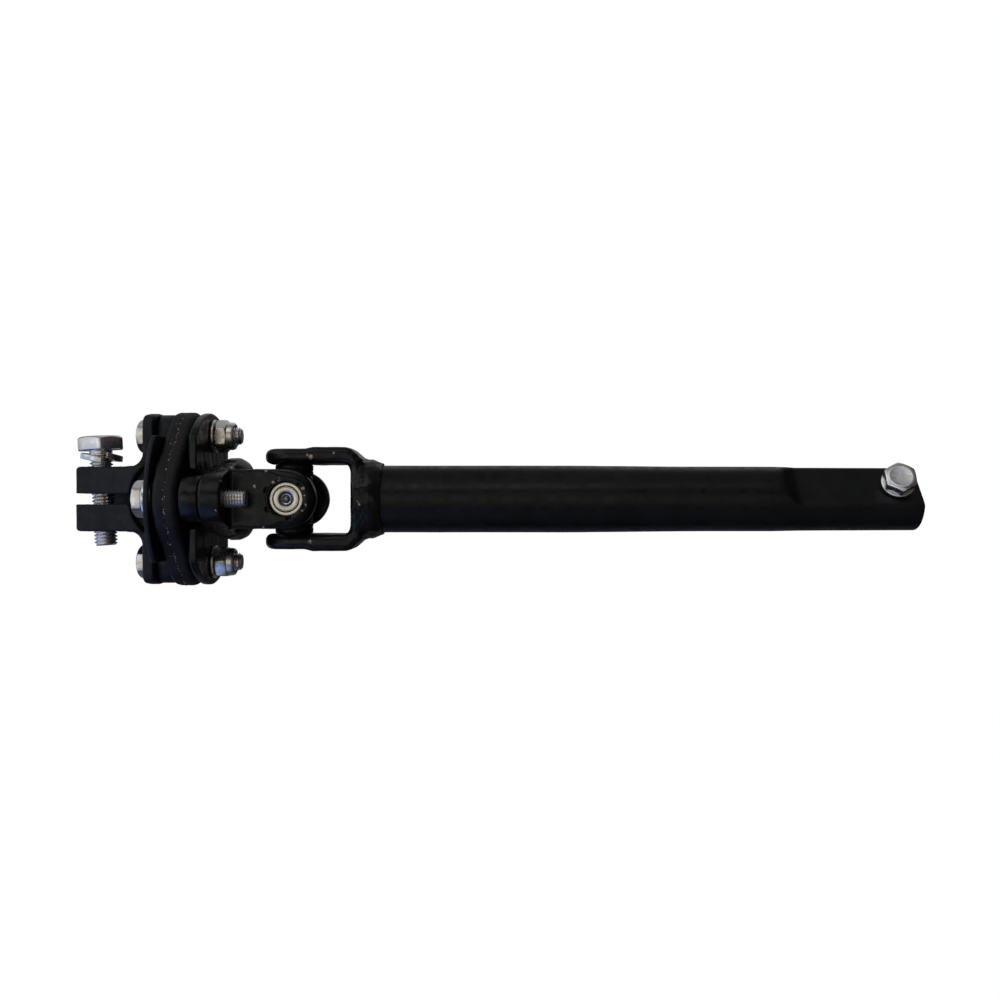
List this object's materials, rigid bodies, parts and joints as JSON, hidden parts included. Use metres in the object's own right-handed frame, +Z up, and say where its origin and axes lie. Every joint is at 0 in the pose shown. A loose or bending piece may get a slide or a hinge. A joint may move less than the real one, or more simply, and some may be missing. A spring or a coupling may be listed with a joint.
{
  "type": "universal joint shaft",
  "caption": "Steering intermediate shaft with split clamp hub, rubber disc coupling, cross universal joint and a long tube that ends in a bolted flat.",
  "frame": {"origin": "the middle of the overall length, on the shaft's axis; the cross of the universal joint is at x = -0.09275", "axes": "+X along the shaft from the clamp hub towards the tube's bolted end, +Z up through the two hub bolts, +Y through the two yoke bolts, away from the pinch bolt's side"},
  "size_m": [0.372, 0.0794, 0.0776],
  "materials": {
    "black_paint": "semi-gloss black paint with small chips at the bearing stakes",
    "zinc_plate": "bright zinc plate, faint yellow and blue tints",
    "bearing_steel": "ground steel with a light tan film",
    "coupling_rubber": "matte black rubber with tan cord ends along the rim",
    "seal_rubber": "smooth black rubber",
    "nylon": "off-white nylon"
  },
  "bodies": {
    "hub": {"clamp_hub": "black_paint", "pinch_bolt": "zinc_plate", "pinch_spring_washer": "zinc_plate", "hub_bolt_top": "zinc_plate", "hub_spacer_top": "black_paint", "hub_bush_top": "zinc_plate", "hub_washer_top": "zinc_plate", "hub_nut_top": "zinc_plate", "nut_insert_top": "nylon", "hub_bolt_bottom": "zinc_plate", "hub_spacer_bottom": "black_paint", "hub_bush_bottom": "zinc_plate", "hub_washer_bottom": "zinc_plate", "hub_nut_bottom": "zinc_plate", "nut_insert_bottom": "nylon", "rear_stop_bar": "black_paint"},
    "disc": {"coupling_disc": "coupling_rubber"},
    "flange_yoke": {"flange_yoke": "black_paint", "front_stop_plate": "black_paint", "yoke_bolt_front": "zinc_plate", "yoke_washer_front": "zinc_plate", "yoke_bush_front": "zinc_plate", "yoke_spacer_front": "black_paint", "bearing_cup_front": "bearing_steel", "needle_ring_front": "bearing_steel", "cup_seal_front": "seal_rubber", "yoke_bolt_back": "zinc_plate", "yoke_washer_back": "zinc_plate", "yoke_bush_back": "zinc_plate", "yoke_spacer_back": "black_paint", "bearing_cup_back": "bearing_steel", "needle_ring_back": "bearing_steel", "cup_seal_back": "seal_rubber"},
    "cross": {"cross": "bearing_steel"},
    "tube": {"tube_yoke": "black_paint", "shaft_tube": "black_paint", "tube_bolt": "zinc_plate", "tube_bolt_washer": "zinc_plate", "bearing_cup_top": "bearing_steel", "needle_ring_top": "bearing_steel", "cup_seal_top": "seal_rubber", "bearing_cup_bottom": "bearing_steel", "needle_ring_bottom": "bearing_steel", "cup_seal_bottom": "seal_rubber"}
  },
  "joints": [
    {"name": "coupling_flex_z", "type": "hinge", "parent": "hub", "child": "disc", "pos_m": [-0.14015, 0, 0], "axis": [0, 0, 1], "range_deg": [-2, 2], "stiffness_Nm_per_rad": 60},
    {"name": "coupling_flex_y", "type": "hinge", "parent": "disc", "child": "flange_yoke", "pos_m": [-0.14015, 0, 0], "axis": [0, 1, 0], "range_deg": [-2, 2], "stiffness_Nm_per_rad": 60},
    {"name": "joint_pitch", "type": "hinge", "parent": "flange_yoke", "child": "cross", "pos_m": [-0.09275, 0, 0], "axis": [0, 1, 0], "range_deg": [-20, 20]},
    {"name": "joint_yaw", "type": "hinge", "parent": "cross", "child": "tube", "pos_m": [-0.09275, 0, 0], "axis": [0, 0, 1], "range_deg": [-30, 30]}
  ]
}
